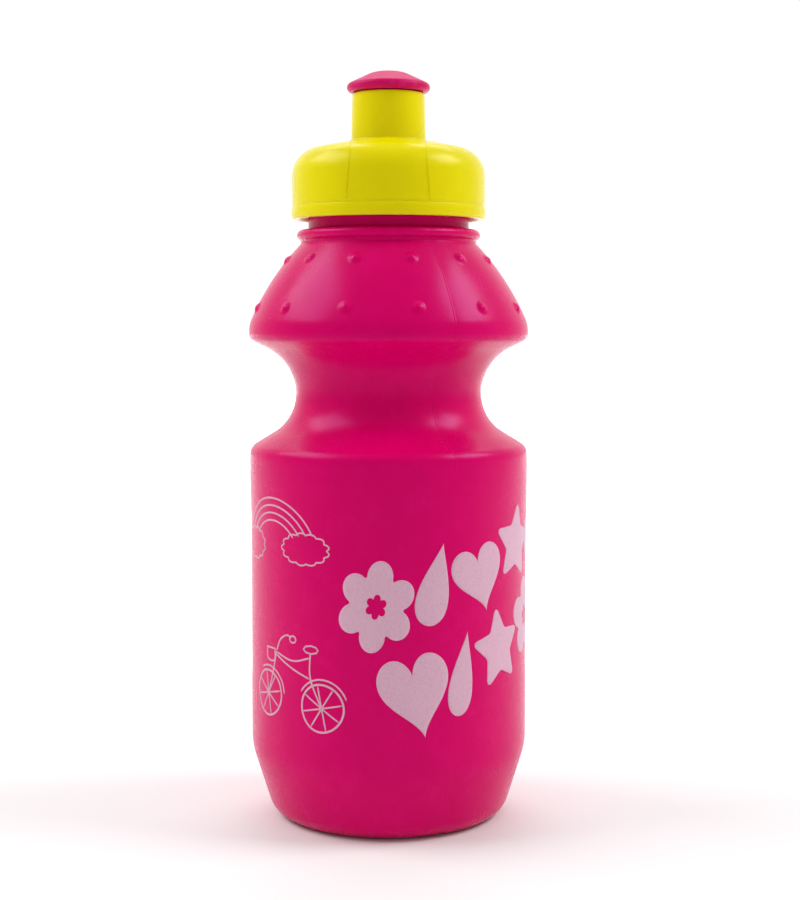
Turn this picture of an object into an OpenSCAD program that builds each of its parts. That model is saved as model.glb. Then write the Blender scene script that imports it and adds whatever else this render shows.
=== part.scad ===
// Children's squeeze bottle with a screw cap and a pull-to-open drinking valve.
// Millimetres, +Z up. The origin is the middle of the base, on the surface it stands on.

/* [Bottle] */
// Outer diameter of the cylinder that carries the print
body_d = 65.5; // [56:0.5:80]
// Thickness of the blown wall
wall = 1.1; // [0.8:0.1:1.6]
// Height of the lower body, up to the middle of its rounded top edge
body_h = 86.1; // [65:0.1:110]
// How far the standing ring lies inside the cylinder
foot_inset = 9.45; // [7:0.05:11]
// Width of the flat ring that the bottle stands on
foot_w = 2.5; // [1.5:0.1:4]
// Height of the hollow in the middle of the base
pushup_h = 3; // [1.5:0.1:5]
// Radius of the base corner
base_corner_r = 5.6; // [3:0.1:6]
// Lean of the base taper from vertical, in degrees
taper_a = 17.5; // [14:0.5:30]
// How far the two lips of the finger groove stand proud of the cylinder
lip_proud = 0.15; // [0:0.05:0.6]

/* [Finger groove] */
// Depth of the groove, from the cylinder to its narrowest ring
groove_depth = 10.75; // [7:0.05:13]
// Height from the lower lip's centre to the narrowest ring
groove_low_h = 14.4; // [13.9:0.1:18]
// Height from the narrowest ring to the shoulder lip's centre
groove_up_h = 14.1; // [14:0.1:18]
// Radius of the lower half of the groove
groove_low_r = 10.8; // [9:0.1:10.8]
// Radius of the upper half of the groove
groove_up_r = 12; // [9.5:0.1:12]
// Radius of the lower lip
low_lip_r = 3; // [2:0.1:3]
// Radius of the shoulder lip's lower edge
up_lip_r = 2; // [1.8:0.1:2]

/* [Shoulder] */
// Height of the shoulder, from its widest ring to the foot of the neck
shoulder_h = 20.4; // [16:0.1:28]
// Radius of the shoulder's upper edge
shoulder_edge_r = 7; // [4:0.1:9]
// Crown of the shoulder's slope, out from a straight cone
shoulder_crown = 0.95; // [0:0.05:2]
// Number of grip bumps in each of the two rows
bump_n = 12; // [6:2:16]
// Diameter of a bump where it leaves the surface
bump_d = 2.8; // [1.6:0.1:3.4]
// How far a bump stands proud
bump_proud = 0.6; // [0.3:0.05:0.9]
// Direction of the mould's parting line, in degrees from the +X axis
parting_a = -62.5; // [-90:0.5:90]

/* [Neck] */
// Outer diameter of the neck between its thread turns
neck_d = 37.7; // [34:0.1:42]
// Thickness of the neck's wall
neck_wall = 1.95; // [1.5:0.05:2.6]
// Height of the neck, from the top of its bead to the mouth
neck_h = 13.4; // [12.6:0.1:18]
// How far the bead stands out from the neck
bead_proud = 2.7; // [2:0.05:3.5]
// Thickness of the bead
bead_t = 2.5; // [1.8:0.1:3]
// Height that a thread climbs in one turn
pitch = 4; // [3.6:0.1:5]
// Height of a thread's crest over the wall that it stands on
thread_h = 1.5; // [1:0.05:1.8]
// Length of each thread in turns
thread_turns = 1.5; // [1:0.125:1.75]

/* [Cap] */
// Gap between the neck's bead and the cap's rim
rim_gap = 2.45; // [1:0.05:4]
// Radial gap between a thread's crest and the wall facing it
thread_gap = 0.35; // [0.2:0.05:0.6]
// Thickness of the cap's skirt
cap_wall = 1.95; // [1.4:0.05:2.6]
// Height of the reinforcing band at the rim
band_h = 3; // [2:0.1:5]
// How far the band stands out from the skirt
band_proud = 0.1; // [0.05:0.05:0.5]
// Radius of the dome's edge
dome_edge_r = 6.6; // [5:0.1:7]
// Slope of the dome's top, in degrees
dome_a = 12; // [8:0.5:16]
// Thickness of the dome
dome_t = 1.9; // [1.4:0.1:2.4]

/* [Spout and valve] */
// Outer diameter of the spout tower at its foot
tower_d = 17.5; // [16:0.1:20]
// Height of the spout tower above the dome
tower_h = 11; // [10:0.1:16]
// Thickness of the tower's wall
tower_wall = 1.75; // [1.4:0.05:2.4]
// How far the tower's mouth closes in, to hold the valve's bead
catch_in = 0.52; // [0.3:0.02:0.8]
// How far the valve pulls up
valve_travel = 6; // [4:0.1:7]
// Outer diameter of the valve's head
head_d = 19.5; // [18:0.1:23]
// Height of the valve's head
head_h = 4.85; // [4:0.05:7]
// Diameter of the centre pin that closes the drinking hole
pin_d = 4; // [3:0.1:4.6]
// Radial clearance of a sliding fit
slide_gap = 0.08; // [0.04:0.01:0.1]

/* [Gasket] */
// Thickness of the gasket
gasket_t = 1.1; // [0.8:0.1:2]
// Gap left on each side of the gasket
seat_gap = 0.05; // [0.02:0.01:0.1]

/* [Hidden] */
$fn = 96;
arc_steps = 8;
thread_step_a = 10;
overcut = 1;

// Heights, from the base up
body_r = body_d / 2;
foot_r = body_r - foot_inset;
lip_r = body_r + lip_proud;
low_lip_z = body_h;
waist_z = low_lip_z + groove_low_h;
up_lip_z = waist_z + groove_up_h;
shoulder_z = up_lip_z + 0.6;
neck_foot_z = shoulder_z + shoulder_h;
bead_z = neck_foot_z + 1.9;
bead_top_z = bead_z + bead_t / 2;
mouth_z = bead_top_z + neck_h;
rim_z = bead_top_z + rim_gap;
land_z = mouth_z + gasket_t + 2 * seat_gap;

// Radii of the neck and of the cap around it
neck_r = neck_d / 2;
bore_r = neck_r - neck_wall;
neck_foot_r = neck_r + bead_proud - 0.95;
waist_r = body_r - groove_depth;
cap_bore_r = neck_r + thread_h + thread_gap;
cap_r = cap_bore_r + cap_wall;
land_in_r = bore_r - 0.7;

// The dome: a round edge, then a shallow cone up to the tower
dome_z = land_z - 2.05;
edge_end_a = 90 - dome_a;
edge_end_r = cap_r - dome_edge_r * (1 - cos(edge_end_a));
edge_end_z = dome_z + dome_edge_r * sin(edge_end_a);
tower_r = tower_d / 2;
tower_z = edge_end_z + (edge_end_r - tower_r) * tan(dome_a);
tower_top_z = tower_z + tower_h;
tower_top_r = tower_r - 0.27;

// The valve's way through the tower
shaft_bore_r = tower_r - tower_wall;
catch_r = shaft_bore_r - catch_in;
catch_h = 2;
catch_z = tower_top_z - catch_h;
stem_r = catch_r - slide_gap;
stem_bead_r = shaft_bore_r - slide_gap;
stem_bead_h = 2.2;
stem_bead_top_z = catch_z - valve_travel - 0.2;
stem_z = stem_bead_top_z - stem_bead_h;
stem_wall = 2;
stem_bore_r = stem_r - stem_wall;
pin_r = pin_d / 2;
hole_r = pin_r + slide_gap;
head_z = tower_top_z + 0.2;
head_top_z = head_z + head_h;
hole_h = 3;
pin_top_z = head_top_z - 0.7;
bridge_h = 1.8;
bridge_z = stem_z - 0.9 - bridge_h;
bridge_w = 1.5;
bridge_n = 3;
ceiling_z = tower_z - dome_t + 0.3;

// Threads: trapezoids that climb one pitch a turn. The cap's lies midway between the neck's turns.
thread_root_w = 2;
thread_crest_w = 0.9;
neck_thread_z = rim_z + 2.2;
cap_thread_z = rim_z + 1.7;
cap_thread_a = 360 * (cap_thread_z - neck_thread_z + pitch / 2) / pitch;

// Points of an arc about [cx, cz] from angle a0 to a1
function arc(cx, cz, r, a0, a1) =
    [for (i = [0 : arc_steps]) let (a = a0 + (a1 - a0) * i / arc_steps) [cx + r * cos(a), cz + r * sin(a)]];

// Points of a shallow arc from p to q that crowns out by sag, without its first point
function bow(p, q, sag) =
    let (d = q - p, side = [d[1], -d[0]] / norm(d))
    [for (i = [1 : arc_steps]) let (t = i / arc_steps) p + d * t + side * sag * 4 * t * (1 - t)];

// Direction of the straight flank's contact point, seen from a lip's centre towards a groove's centre
function flank_a(lip, lip_rad, groove, groove_rad, side) =
    let (d = groove - lip)
    atan2(d[1], d[0]) + side * acos((lip_rad + groove_rad) / norm(d));

// Each point of a chain moved to its left by t, for the inside of a wall
function inset(chain, t) =
    [for (i = [0 : len(chain) - 1])
        let (
            before = chain[i] - chain[max(i - 1, 0)],
            after = chain[min(i + 1, len(chain) - 1)] - chain[i],
            u = norm(before) > 0 ? before / norm(before) : after / norm(after),
            v = norm(after) > 0 ? after / norm(after) : u,
            n = [-u[1] - v[1], u[0] + v[0]] / (1 + u * v)
        )
        chain[i] + n * t];

// The blown shell's outside, from the middle of the base to the foot of the neck
low_lip = [lip_r - low_lip_r, low_lip_z];
up_lip = [lip_r - up_lip_r, up_lip_z];
low_groove = [waist_r + groove_low_r, waist_z];
up_groove = [waist_r + groove_up_r, waist_z];
low_a = flank_a(low_lip, low_lip_r, low_groove, groove_low_r, -1);
up_a = flank_a(up_lip, up_lip_r, up_groove, groove_up_r, 1);
pushup_r = foot_r - foot_w;
pushup_arc_r = (pushup_r * pushup_r + pushup_h * pushup_h) / (2 * pushup_h);
corner_end = [foot_r + base_corner_r * cos(taper_a), base_corner_r * (1 - sin(taper_a))];
taper_top_z = corner_end[1] + (body_r - corner_end[0]) / tan(taper_a);
band_z = low_lip_z - 12;
shoulder_a = 22;
shoulder_edge = arc(lip_r - shoulder_edge_r, shoulder_z, shoulder_edge_r, 0, shoulder_a);
shell = concat(
    arc(0, pushup_h - pushup_arc_r, pushup_arc_r, 90, 90 - asin(pushup_r / pushup_arc_r)),
    arc(foot_r, base_corner_r, base_corner_r, -90, -taper_a),
    [[body_r, taper_top_z], [body_r, band_z]],
    arc(low_lip[0], low_lip[1], low_lip_r, 0, low_a),
    arc(low_groove[0], low_groove[1], groove_low_r, low_a + 180, 180),
    [for (p = arc(up_groove[0], up_groove[1], groove_up_r, 180, up_a + 180)) if (p[1] > waist_z + 0.01) p],
    arc(up_lip[0], up_lip[1], up_lip_r, up_a, 0),
    shoulder_edge,
    bow(shoulder_edge[arc_steps], [neck_foot_r, neck_foot_z], shoulder_crown)
);
shell_inside = inset(shell, wall);

// Radius and slope of the shoulder's cone, where a bump stands
shoulder_out = shoulder_edge[arc_steps];
shoulder_run = [neck_foot_r, neck_foot_z] - shoulder_out;
function shoulder_point(t) =
    shoulder_out + shoulder_run * t
    + [shoulder_run[1], -shoulder_run[0]] / norm(shoulder_run) * shoulder_crown * 4 * t * (1 - t);
bump_ball_r = (bump_d * bump_d / 4 + bump_proud * bump_proud) / (2 * bump_proud);
bump_rows = [0.14, 0.755];

// A thread that climbs about the Z axis. It stands on a wall of radius wall_r and reaches crest_r.
module thread(wall_r, crest_r, z, start_a) {
    steps = round(thread_turns * 360 / thread_step_a);
    fade = 4;
    inward = wall_r > crest_r;
    root_r = wall_r + (inward ? 0.4 : -0.4);
    rings = [for (i = [0 : steps])
        let (
            a = start_a + i * thread_step_a,
            share = min(1, i / fade, (steps - i) / fade),
            tip_r = root_r + (crest_r - root_r) * max(share, 0.15),
            mid_z = z + pitch * i * thread_step_a / 360
        )
        [for (c = [[root_r, -thread_root_w], [tip_r, -thread_crest_w],
                   [tip_r, thread_crest_w], [root_r, thread_root_w]])
            [c[0] * cos(a), c[0] * sin(a), mid_z + c[1] / 2]]];
    points = [for (ring = rings) for (p = ring) p];
    sides = [for (i = [0 : steps - 1]) for (k = [0 : 3]) let (m = (k + 1) % 4)
        each [[4 * i + k, 4 * i + 4 + k, 4 * i + m], [4 * i + m, 4 * i + 4 + k, 4 * i + 4 + m]]];
    last = 4 * steps;
    ends = [[0, 1, 2], [0, 2, 3], [last, last + 2, last + 1], [last, last + 3, last + 2]];
    faces = concat(sides, ends);
    polyhedron(points, inward ? faces : [for (f = faces) [f[0], f[2], f[1]]]);
}

// The blow-moulded bottle: shell, bead, threaded neck and grip bumps
module bottle_body() {
    bead_r = neck_r + bead_proud;
    outside = concat(
        shell,
        [[neck_foot_r, bead_z - bead_t / 2 + 0.1]],
        arc(bead_r - bead_t / 2, bead_z, bead_t / 2, -60, 90),
        [[neck_r, bead_top_z], [neck_r, mouth_z - 0.5], [neck_r - 0.5, mouth_z], [0, mouth_z]]
    );
    inside = concat(
        [[0, pushup_h + wall]],
        [for (i = [1 : len(shell_inside) - 1]) if (shell_inside[i][1] < neck_foot_z - 0.5) shell_inside[i]],
        [[bore_r, bead_z + 0.6], [bore_r, mouth_z + overcut], [0, mouth_z + overcut]]
    );
    color([0.84, 0.0, 0.43])
    difference() {
        union() {
            rotate_extrude() polygon(outside);
            thread(neck_r, neck_r + thread_h, neck_thread_z, 0);
            for (row = [0 : 1]) {
                at = shoulder_point(bump_rows[row]);
                for (i = [0 : bump_n - 1])
                    rotate([0, 0, parting_a + (i + 0.5) * 360 / bump_n])
                    translate([at[0] - (bump_ball_r - bump_proud) * 0.86, 0,
                               at[1] - (bump_ball_r - bump_proud) * 0.5])
                    sphere(r = bump_ball_r, $fn = 32);
            }
        }
        rotate_extrude() polygon(inside);
    }
}

// The flat ring that seals the mouth against the cap
module cap_gasket() {
    color([0.93, 0.93, 0.9])
    rotate_extrude()
    polygon([
        [bore_r - 0.4, mouth_z + seat_gap], [cap_bore_r - 0.6, mouth_z + seat_gap],
        [cap_bore_r - 0.6, mouth_z + seat_gap + gasket_t], [bore_r - 0.4, mouth_z + seat_gap + gasket_t]
    ]);
}

// The moulded cap: banded skirt, dome, spout tower, and the centre pin on its bridge
module screw_cap() {
    outside = concat(
        [[0, rim_z], [cap_r + band_proud - 0.3, rim_z], [cap_r + band_proud, rim_z + 0.3],
         [cap_r + band_proud, rim_z + band_h - 0.2], [cap_r, rim_z + band_h]],
        arc(cap_r - dome_edge_r, dome_z, dome_edge_r, 0, edge_end_a),
        [[tower_r + 0.8, tower_z - 0.8 * tan(dome_a)], [tower_r + 0.15, tower_z + 0.25],
         [tower_r, tower_z + 0.9], [tower_top_r, tower_top_z - 0.4],
         [tower_top_r - 0.4, tower_top_z], [0, tower_top_z]]
    );
    inside = [
        [0, rim_z - overcut], [cap_bore_r + 0.5, rim_z - overcut], [cap_bore_r + 0.5, rim_z],
        [cap_bore_r, rim_z + 0.5], [cap_bore_r, land_z], [land_in_r, land_z],
        [land_in_r, ceiling_z - (land_in_r - shaft_bore_r) * tan(dome_a)],
        [shaft_bore_r, ceiling_z], [shaft_bore_r, catch_z - 0.3], [catch_r, catch_z + 0.3],
        [catch_r, tower_top_z + overcut], [0, tower_top_z + overcut]
    ];
    color([0.9, 0.87, 0.0])
    union() {
        difference() {
            rotate_extrude() polygon(outside);
            rotate_extrude() polygon(inside);
        }
        thread(cap_bore_r, cap_bore_r - thread_h, cap_thread_z, cap_thread_a);
        rotate_extrude()
        polygon([[0, bridge_z], [pin_r, bridge_z], [pin_r, pin_top_z - 0.4],
                 [pin_r - 0.4, pin_top_z], [0, pin_top_z]]);
        for (i = [0 : bridge_n - 1])
            rotate([0, 0, i * 360 / bridge_n])
            translate([0, -bridge_w / 2, bridge_z])
            cube([shaft_bore_r + 0.6, bridge_w, bridge_h]);
    }
}

// The drinking valve: a mushroom head on a hollow stem that slides in the tower
module pull_valve() {
    head_r = head_d / 2;
    edge_r = 1.15;
    edge_a = 65;
    crown_a = 25;
    edge = arc(head_r - edge_r, head_z + edge_r, edge_r, -90, edge_a);
    crown_r = 3.3;
    outline = concat(
        [[stem_bore_r, stem_z], [stem_bead_r - 0.5, stem_z], [stem_bead_r, stem_z + 1.4],
         [stem_bead_r, stem_bead_top_z - 0.3], [stem_r, stem_bead_top_z], [stem_r, head_z]],
        edge,
        [[crown_r + 0.2, head_top_z - 0.18], [crown_r - 0.5, head_top_z], [hole_r + 0.3, head_top_z],
         [hole_r, head_top_z - 0.3], [hole_r, head_top_z - hole_h],
         [stem_bore_r, head_top_z - hole_h - 0.8]]
    );
    color([0.88, 0.1, 0.42])
    rotate_extrude() polygon(outline);
}

bottle_body();
cap_gasket();
screw_cap();
pull_valve();
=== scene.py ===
# %% [markdown]
# A child's squeeze bottle: a soft blown shell, a screwed cap with a spout tower, and a valve
# that pulls open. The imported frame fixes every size, place and joint. One could model the pieces
# anew and fit them later, but then they would drift from the joints. So this script starts from
# the frame, and only gives the pieces their fine surface and their finish.

# %% Load the frame
import math

import bpy
import numpy as np
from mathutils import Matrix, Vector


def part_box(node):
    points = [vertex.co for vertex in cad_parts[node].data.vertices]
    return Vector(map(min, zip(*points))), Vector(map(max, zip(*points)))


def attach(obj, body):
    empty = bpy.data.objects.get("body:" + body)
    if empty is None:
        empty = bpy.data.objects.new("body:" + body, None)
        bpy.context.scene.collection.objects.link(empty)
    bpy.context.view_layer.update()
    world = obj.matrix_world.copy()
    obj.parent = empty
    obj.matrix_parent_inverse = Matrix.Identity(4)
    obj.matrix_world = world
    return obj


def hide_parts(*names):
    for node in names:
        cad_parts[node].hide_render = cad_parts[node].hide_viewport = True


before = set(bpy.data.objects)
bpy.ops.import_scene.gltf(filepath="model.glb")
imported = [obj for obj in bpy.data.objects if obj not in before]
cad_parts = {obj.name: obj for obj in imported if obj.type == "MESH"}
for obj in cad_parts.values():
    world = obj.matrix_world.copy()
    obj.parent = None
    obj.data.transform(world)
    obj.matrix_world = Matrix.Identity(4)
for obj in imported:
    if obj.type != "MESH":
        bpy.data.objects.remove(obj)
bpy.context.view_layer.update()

MM = 0.001

# %% [markdown]
# A mould is drawn as radii and heights in millimetres. They could all be typed in, but what the
# frame's boxes can tell is read from them, so that the surface and the frame agree.

# %% Sizes of the bottle
def top_of(node):
    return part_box(node)[1].z / MM


def radius_of(node):
    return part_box(node)[1].x / MM


MOUTH_Z = top_of("bottle_body")
LIP_R = radius_of("bottle_body")
LIP_PROUD = 0.15
BODY_R = LIP_R - LIP_PROUD
WALL = 1.1
FOOT_R = BODY_R - 9.45
FOOT_W = 2.5
PUSHUP_H = 3.0
CORNER_R = 5.6
TAPER_A = 17.5
LOW_LIP_Z, LOW_LIP_R = 86.1, 3.0
WAIST_Z, WAIST_R = 100.5, BODY_R - 10.75
LOW_GROOVE_R, UP_GROOVE_R = 10.8, 12.0
UP_LIP_Z, UP_LIP_R = 114.6, 2.0
SHOULDER_Z, SHOULDER_EDGE_R, SHOULDER_A, SHOULDER_CROWN = 115.2, 7.0, 22.0, 0.95
NECK_FOOT_Z, NECK_FOOT_R = 135.6, 20.6
BEAD_Z, BEAD_R, BEAD_T = 137.5, 21.55, 2.5
NECK_R, BORE_R = 18.85, 16.9
PITCH, THREAD_H, THREAD_TURNS = 4.0, 1.5, 1.5
NECK_THREAD_UP, CAP_THREAD_UP = 2.2, 1.7
PARTING_A = 27.5
print("bottle: mouth at", round(MOUTH_Z, 2), "lip radius", round(LIP_R, 2))

# %% [markdown]
# Every piece of the bottle is round. It could be a curve under a Screw modifier, but then its
# bumps and seams would need sculpting. Here it is a grid: an outline of (radius, height) points is
# turned round the axis, and a relief moves each point along the outline's normal.

# %% Arcs and lines
SAME_POINT = 1e-4


def arc(centre, radius, start, end, steps):
    """Points centre + radius * (cos a, sin a), for steps + 1 angles a from start to end in degrees."""
    a = np.radians(np.linspace(start, end, steps + 1))
    return np.column_stack([centre[0] + radius * np.cos(a), centre[1] + radius * np.sin(a)])


def line(start, end, steps):
    """Points start + (end - start) * t, for steps + 1 values of t from 0 to 1."""
    t = np.linspace(0, 1, steps + 1)[:, None]
    return np.asarray(start, float) * (1 - t) + np.asarray(end, float) * t


def chain(*stretches):
    """Stretches of points joined into one outline, without the points that repeat."""
    points = np.vstack([np.atleast_2d(s) for s in stretches])
    step = np.linalg.norm(np.diff(points, axis=0), axis=1)
    return points[np.r_[True, step > SAME_POINT]]


quarter = arc((0, 0), 1, 0, 90, 2)
print("a quarter of a circle in two steps:", quarter.round(2).tolist())

# %% [markdown]
# Moulded plastic has no sharp corners. A Bevel modifier could round them all alike. An arc that
# touches both lines gives each corner its own radius instead. The other helpers find normals,
# blend softly, and crowd columns where the detail is.

# %% Corners, normals and spacing
def rounded(before, corner, after, radius, steps):
    """The arc of that radius that touches the line before-corner and the line corner-after."""
    before, corner, after = (np.asarray(p, float) for p in (before, corner, after))
    u = (before - corner) / np.linalg.norm(before - corner)
    v = (after - corner) / np.linalg.norm(after - corner)
    half = math.acos(np.clip(u @ v, -1, 1)) / 2
    centre = corner + (u + v) / np.linalg.norm(u + v) * radius / math.sin(half)
    start = corner + u * radius / math.tan(half) - centre
    end = corner + v * radius / math.tan(half) - centre
    a0, a1 = math.atan2(start[1], start[0]), math.atan2(end[1], end[0])
    turn = (a1 - a0 + math.pi) % (2 * math.pi) - math.pi
    return arc(centre, radius, math.degrees(a0), math.degrees(a0 + turn), steps)


def normals_of(outline, closed=False):
    """Unit normals (dz, -dr) of an outline, to the right of its way, from its neighbours' chord."""
    if closed:
        way = np.roll(outline, -1, axis=0) - np.roll(outline, 1, axis=0)
    else:
        way = np.gradient(outline, axis=0)
    way /= np.linalg.norm(way, axis=1, keepdims=True)
    return np.column_stack([way[:, 1], -way[:, 0]])


def smooth(t):
    """0 below t = 0, 1 above t = 1, and 3t^2 - 2t^3 between."""
    t = np.clip(t, 0, 1)
    return t * t * (3 - 2 * t)


def spaced(density, low, high, count):
    """count + 1 values from low to high that crowd where density(value) is large."""
    x = np.linspace(low, high, 8001)
    total = np.r_[0, np.cumsum((density(x[1:]) + density(x[:-1])) / 2)]
    return np.interp(np.linspace(0, total[-1], count + 1), total, x)


print("a blend from 0 to 1:", smooth(np.linspace(0, 1, 5)).round(2).tolist())

# %% [markdown]
# A grid becomes a mesh of quads by naming the four corners of each cell. bmesh could join them
# one face at a time, but whole arrays of indices are quicker and shorter. The columns close on
# themselves, since the piece is round, and the ends get a fan.

# %% Grids to patches
def patch(grid, along=False, poles=False):
    """A grid of points [row, column] as (points, quads, triangles), closed round its columns.
    along closes it over its rows too; poles closes its first and last rows with a fan each."""
    rows, columns = grid.shape[:2]
    index = np.arange(rows * columns).reshape(rows, columns)
    index = np.hstack([index, index[:, :1]])
    if along:
        index = np.vstack([index, index[:1]])
    quads = np.stack([index[:-1, :-1], index[:-1, 1:], index[1:, 1:], index[1:, :-1]], axis=-1)
    points = grid.reshape(-1, 3)
    triangles = np.zeros((0, 3), int)
    if poles:
        ends = np.vstack([grid[0].mean(axis=0), grid[-1].mean(axis=0)])
        first, last = np.full(columns, len(points)), np.full(columns, len(points) + 1)
        points = np.vstack([points, ends])
        triangles = np.vstack([
            np.column_stack([index[0, 1:], index[0, :-1], first]),
            np.column_stack([index[-1, :-1], index[-1, 1:], last]),
        ])
    return points, quads.reshape(-1, 4), triangles


def outward(points, quads, triangles):
    """The patch turned so that its signed volume, the sum of a . (b x c) / 6, is positive."""
    faces = np.vstack([quads[:, [0, 1, 2]], quads[:, [0, 2, 3]], triangles])
    a, b, c = (points[faces[:, k]] for k in range(3))
    if np.einsum("ij,ij->", a, np.cross(b, c)) < 0:
        quads, triangles = quads[:, ::-1], triangles[:, ::-1]
    return points, quads, triangles


unit_rows = np.array([[[1, 0, 0], [0, 1, 0], [-1, 0, 0]], [[1, 0, 1], [0, 1, 1], [-1, 0, 1]]], float)
print("a prism of 3 columns:", len(patch(unit_rows)[1]), "quads")

# %% [markdown]
# A moulding is one object made of closed patches, such as a wall and its thread. Booleans could
# fuse them, but patches that sink into each other look the same and keep their clean quads. Each
# object rides on its body of the frame, so it moves with it.

# %% Patches to pieces
def piece(name, patches, body, material, stands_for=None):
    """One object from closed patches, riding on a body, with its place in its mesh."""
    points, faces, base = [], [], 0
    for each in patches:
        corners, quads, triangles = outward(*each)
        points.append(corners)
        faces += (quads + base).tolist() + (triangles + base).tolist()
        base += len(corners)
    mesh = bpy.data.meshes.new(name)
    mesh.from_pydata((np.vstack(points) * MM).tolist(), [], faces)
    mesh.polygons.foreach_set("use_smooth", np.ones(len(faces), bool))
    mesh.materials.append(material)
    mesh.validate()
    made = bpy.data.objects.new(name, mesh)
    bpy.context.collection.objects.link(made)
    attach(made, body)
    if stands_for:
        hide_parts(stands_for)
    print(name, "faces:", len(faces))


def turned(outline, angles, relief=None, closed=False):
    """Outline points (r, z) turned round the axis: x = r sin a, y = -r cos a, so that a = 0 faces
    the viewer. angles is one row for the whole grid, or a row for each outline point. relief moves
    each grid point by that many millimetres along the outline's normal."""
    angles = np.broadcast_to(np.radians(angles), (len(outline), np.shape(angles)[-1]))
    move = np.zeros(angles.shape) if relief is None else relief
    normal = normals_of(outline, closed)
    r = outline[:, :1] + normal[:, :1] * move
    z = outline[:, 1:] + normal[:, 1:] * move
    return np.stack([r * np.sin(angles), -r * np.cos(angles), z], axis=-1)


def swept(path, section, sides):
    """A section (u, v) carried along a path: point = path + across * u + up * v. path is [n, 3],
    and sides gives the unit vectors (across, up) at each path point."""
    (u, v), (across, up) = section, sides
    return path[:, None, :] + across[:, None, :] * u + up[:, None, :] * v


# %% [markdown]
# Plastic is never quite even, so its roughness and colour vary from place to place. The nodes
# could be linked by hand, but shader maths reads best as arithmetic, so a socket is wrapped in a
# small class whose operators add the Math nodes.

# %% Sockets as numbers
class Field:
    """A value that varies over a surface. Adding and multiplying add Math nodes."""

    def __init__(self, finish, socket):
        self.finish, self.socket = finish, socket

    def math(self, operation, *others):
        return self.finish.node("ShaderNodeMath", {"operation": operation}, {
            k: v for k, v in enumerate((self, *others))})

    def __add__(self, other):
        return self.math("ADD", other)

    def __mul__(self, other):
        return self.math("MULTIPLY", other)

    __radd__, __rmul__ = __add__, __mul__

    def span(self, low, high):
        """The value carried from low-high to 0-1, smoothly and clamped."""
        return self.finish.node("ShaderNodeMapRange", {"interpolation_type": "SMOOTHSTEP"}, {
            "Value": self, "From Min": low, "From Max": high})


# %% [markdown]
# A finish is one material. An image could carry its detail, but noise that reads the place on the
# object needs no unwrapping and fits any shape. Constants are set on the shader itself. Any node
# comes from one method, and colours blend through Mix, because Math would turn them grey.

# %% Finishes
class Finish:
    """A material with its node tree. node() adds any node; constants go on the shader itself."""

    def __init__(self, name, **constants):
        self.material = bpy.data.materials.new(name)
        self.material.use_nodes = True
        self.tree = self.material.node_tree
        self.shader = next(n for n in self.tree.nodes if n.type == "BSDF_PRINCIPLED")
        for key, value in constants.items():
            self.shader.inputs[key.replace("_", " ")].default_value = value
        self.place = self.node("ShaderNodeTexCoord", {}, {}, "Object")

    def node(self, kind, settings, inputs, output=0):
        made = self.tree.nodes.new(kind)
        for key, value in settings.items():
            setattr(made, key, value)
        for key, value in inputs.items():
            if isinstance(value, Field):
                self.tree.links.new(value.socket, made.inputs[key])
            else:
                made.inputs[key].default_value = value
        return Field(self, made.outputs[output])

    def noise(self, scale, detail=2.0, roughness=0.5, at=None):
        return self.node("ShaderNodeTexNoise", {}, {
            "Vector": at or self.place, "Scale": scale, "Detail": detail, "Roughness": roughness})

    def stretched(self, x, y, z):
        """The place scaled along each axis, for streaks."""
        return self.node("ShaderNodeMapping", {}, {"Vector": self.place, "Scale": (x, y, z)})

    def between(self, share, low, high):
        """A colour between two colours, by a value from 0 to 1."""
        made = self.tree.nodes.new("ShaderNodeMix")
        made.data_type = "RGBA"
        self.tree.links.new(share.socket, made.inputs["Factor"])
        for name, colour in (("A", low), ("B", high)):
            socket = next(s for s in made.inputs if s.name == name and s.type == "RGBA")
            socket.default_value = (*colour, 1.0)
        return Field(self, next(s for s in made.outputs if s.type == "RGBA"))

    def bump(self, height, distance, strength, on=None):
        """A normal tilted by the height field, over another bump if one is given."""
        inputs = {"Height": height, "Distance": distance, "Strength": strength}
        if on:
            inputs["Normal"] = on
        return self.node("ShaderNodeBump", {}, inputs)

    def set(self, **fields):
        for key, value in fields.items():
            self.tree.links.new(value.socket, self.shader.inputs[key.replace("_", " ")])
        return self.material


# %% [markdown]
# The shell is blown from soft polyethylene. Its skin is satin: the mould's fine grain blurs what
# it reflects, light sinks a little way in, and long faint waves stay from the blowing. Handling
# leaves dull patches and scuffs. One roughness value would look like paint, so noise at three
# scales drives it. The tinted reflection keeps so strong a magenta pure.

# %% Finish of the blown shell
def blown_shell():
    finish = Finish("magenta_blown_polyethylene", Specular_IOR_Level=0.17, IOR=1.5,
                    Specular_Tint=(0.4, 0.3, 1.0, 1.0),
                    Subsurface_Weight=0.1, Subsurface_Scale=0.002,
                    Subsurface_Radius=(1.0, 0.18, 0.35))
    waves = finish.noise(38.0, 2.0)
    cloud = finish.noise(160.0, 3.0)
    grain = finish.noise(2600.0, 2.0)
    scuff = finish.noise(700.0, 4.0, 0.7, finish.stretched(1.0, 1.0, 0.16)).span(0.6, 0.72)
    colour = finish.between(cloud.span(0.35, 0.65), (0.675, 0.0, 0.119), (0.695, 0.0, 0.128))
    rough = cloud * 0.08 + grain * 0.05 + scuff * 0.035 + 0.2
    soft = finish.bump(waves, 0.0005, 0.3)
    skin = finish.bump(grain, 0.00003, 0.5, soft)
    return finish.set(Base_Color=colour, Roughness=rough, Normal=skin)


shell_finish = blown_shell()
print("finish:", shell_finish.name)

# %% [markdown]
# The cap is a stiffer injection moulding. The melt's flow leaves very faint streaks, and the
# polished steel leaves the skin smooth. A clear coat over a flat yellow could give that shine, but
# the whole plastic is dyed, so one layer with a low roughness is truer.

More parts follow.
